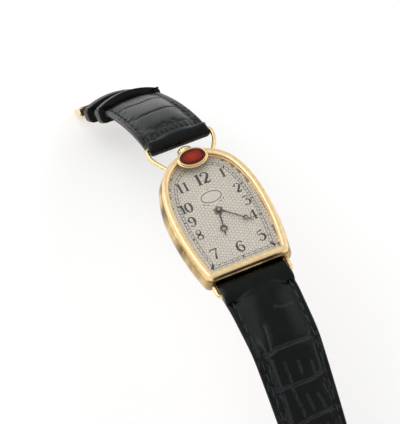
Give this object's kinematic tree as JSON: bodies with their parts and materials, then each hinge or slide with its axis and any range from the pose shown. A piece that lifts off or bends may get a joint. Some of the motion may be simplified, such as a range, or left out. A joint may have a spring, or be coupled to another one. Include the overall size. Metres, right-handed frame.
{
  "type": "wristwatch",
  "caption": "Arched dress wristwatch: domed crystal, hand-wound movement, crown at twelve, fixed wire lugs, padded leather strap with two keepers and a buckle.",
  "frame": {"origin": "the hands' axis on the outer face of the case back", "axes": "+X to 3 o'clock, +Y to 12 o'clock along the strap, +Z out of the dial"},
  "size_m": [0.0242, 0.1891, 0.0564],
  "materials": {
    "yellow_gold": "polished gold-filled metal",
    "crystal_glass": "clear, slightly domed",
    "gasket_rubber": "matt",
    "silvered_dial": "silvered and engraved brass",
    "red_enamel": "glossy fired enamel",
    "polished_steel": "polished steel",
    "hand_steel": "dark oxidised steel",
    "gilt_brass": "gilt",
    "ruby": "polished synthetic ruby",
    "strap_leather": "glossy black crocodile-grain leather",
    "strap_padding": "felt core",
    "strap_lining": "smooth calf lining"
  },
  "bodies": {
    "case": {"bezel": "yellow_gold", "crystal": "crystal_glass", "dial_ring": "yellow_gold", "mid_case": "yellow_gold", "case_back": "yellow_gold", "back_gasket": "gasket_rubber", "dial": "silvered_dial", "badge_mount": "yellow_gold", "badge_enamel": "red_enamel", "upper_wire_lug": "yellow_gold", "lower_wire_lug": "yellow_gold", "crown_tube": "yellow_gold", "movement_ring": "gilt_brass", "mainplate": "gilt_brass", "train_bridge": "gilt_brass", "balance_cock": "gilt_brass", "jewels": "ruby", "bridge_screws": "polished_steel", "hairspring": "polished_steel"},
    "crown_slide": {"crown_gasket": "gasket_rubber"},
    "crown_and_stem": {"crown": "yellow_gold", "winding_stem": "polished_steel"},
    "minute": {"cannon_pinion": "polished_steel", "minute_hand": "hand_steel"},
    "hour": {"hour_wheel": "gilt_brass", "hour_hand": "hand_steel"},
    "motion_wheel": {"minute_wheel": "gilt_brass"},
    "crown_wheel_body": {"crown_wheel": "polished_steel"},
    "ratchet_body": {"ratchet_wheel": "polished_steel"},
    "barrel_body": {"barrel": "gilt_brass", "mainspring": "polished_steel"},
    "centre_body": {"centre_wheel": "gilt_brass"},
    "third_body": {"third_wheel": "gilt_brass"},
    "fourth_body": {"fourth_wheel": "gilt_brass"},
    "escape_body": {"escape_wheel": "polished_steel"},
    "fork_body": {"pallet_fork": "polished_steel"},
    "balance_body": {"balance_wheel": "gilt_brass"},
    "upper_strap": {"upper_strap_leather": "strap_leather", "upper_strap_padding": "strap_padding", "upper_strap_lining": "strap_lining", "fixed_keeper": "strap_leather", "buckle_spring_bar": "polished_steel"},
    "free_keeper_body": {"free_keeper": "strap_leather"},
    "buckle_body": {"buckle_frame": "yellow_gold"},
    "tongue_body": {"buckle_tongue": "yellow_gold"},
    "lower_strap": {"lower_strap_leather": "strap_leather", "lower_strap_padding": "strap_padding", "lower_strap_lining": "strap_lining"}
  },
  "joints": [
    {"name": "crown_pull", "type": "slide", "parent": "case", "child": "crown_slide", "axis": [0, 1, 0], "range_m": [0, 0.0008]},
    {"name": "crown_turn", "type": "hinge", "parent": "crown_slide", "child": "crown_and_stem", "pos_m": [0, 0.0175, 0.00225], "axis": [0, 1, 0], "continuous": true},
    {"name": "crown_wheel_turn", "type": "hinge", "parent": "case", "child": "crown_wheel_body", "pos_m": [0, 0.00485, 0.0008], "axis": [0, 0, 1], "continuous": true},
    {"name": "ratchet_turn", "type": "hinge", "parent": "case", "child": "ratchet_body", "pos_m": [0.00362, 0.00132, 0.0008], "axis": [0, 0, 1], "continuous": true},
    {"name": "minute_hand_turn", "type": "hinge", "parent": "case", "child": "minute", "pos_m": [0, 0, 0.0046], "axis": [0, 0, -1], "continuous": true},
    {"name": "hour_hand_turn", "type": "hinge", "parent": "case", "child": "hour", "pos_m": [0, 0, 0.0044], "axis": [0, 0, -1], "continuous": true},
    {"name": "minute_wheel_turn", "type": "hinge", "parent": "case", "child": "motion_wheel", "pos_m": [0.0011, -0.00191, 0.0034], "axis": [0, 0, -1], "continuous": true},
    {"name": "third_wheel_turn", "type": "hinge", "parent": "case", "child": "third_body", "pos_m": [-0.00197, -0.00234, 0.0018], "axis": [0, 0, 1], "continuous": true},
    {"name": "centre_wheel_turn", "type": "hinge", "parent": "case", "child": "centre_body", "pos_m": [0, 0, 0.0014], "axis": [0, 0, 1], "continuous": true},
    {"name": "barrel_turn", "type": "hinge", "parent": "case", "child": "barrel_body", "pos_m": [0.00362, 0.00132, 0.0018], "axis": [0, 0, 1], "continuous": true},
    {"name": "fourth_wheel_turn", "type": "hinge", "parent": "case", "child": "fourth_body", "pos_m": [-0.00417, -0.00107, 0.0019], "axis": [0, 0, 1], "continuous": true},
    {"name": "escape_wheel_turn", "type": "hinge", "parent": "case", "child": "escape_body", "pos_m": [-0.00358, 0.00116, 0.0018], "axis": [0, 0, 1], "continuous": true},
    {"name": "pallet_fork_rock", "type": "hinge", "parent": "case", "child": "fork_body", "pos_m": [-0.00388, 0.00289, 0.0018], "axis": [0, 0, 1], "range_deg": [-6, 6]},
    {"name": "balance_swing", "type": "hinge", "parent": "case", "child": "balance_body", "pos_m": [-0.00335, 0.00538, 0.002], "axis": [0, 0, 1], "range_deg": [-150, 150], "stiffness_Nm_per_rad": 0.00000001},
    {"name": "upper_strap_swing", "type": "hinge", "parent": "case", "child": "upper_strap", "pos_m": [0, 0.02329, 0.0023], "axis": [1, 0, 0], "range_deg": [-35, 45]},
    {"name": "lower_strap_swing", "type": "hinge", "parent": "case", "child": "lower_strap", "pos_m": [0, -0.02025, 0.0023], "axis": [-1, 0, 0], "range_deg": [-25, 45]},
    {"name": "free_keeper_slide", "type": "slide", "parent": "upper_strap", "child": "free_keeper_body", "axis": [0, 0.5878, -0.809], "range_m": [-0.0015, 0.005]},
    {"name": "buckle_frame_swing", "type": "hinge", "parent": "upper_strap", "child": "buckle_body", "pos_m": [0, 0.06882, -0.04137], "axis": [1, 0, 0], "range_deg": [-90, 30]},
    {"name": "tongue_swing", "type": "hinge", "parent": "buckle_body", "child": "tongue_body", "pos_m": [0, 0.06882, -0.04137], "axis": [1, 0, 0], "range_deg": [0, 60]}
  ],
  "couplings": [
    {"joint": "crown_wheel_turn", "follows": "crown_turn", "ratio": 0.75758},
    {"joint": "ratchet_turn", "follows": "crown_turn", "ratio": -0.36765},
    {"joint": "hour_hand_turn", "follows": "minute_hand_turn", "ratio": 0.083333},
    {"joint": "minute_wheel_turn", "follows": "minute_hand_turn", "ratio": -0.33333},
    {"joint": "centre_wheel_turn", "follows": "third_wheel_turn", "ratio": -0.125},
    {"joint": "barrel_turn", "follows": "third_wheel_turn", "ratio": 0.020833},
    {"joint": "fourth_wheel_turn", "follows": "third_wheel_turn", "ratio": -7.5},
    {"joint": "escape_wheel_turn", "follows": "third_wheel_turn", "ratio": 75}
  ]
}
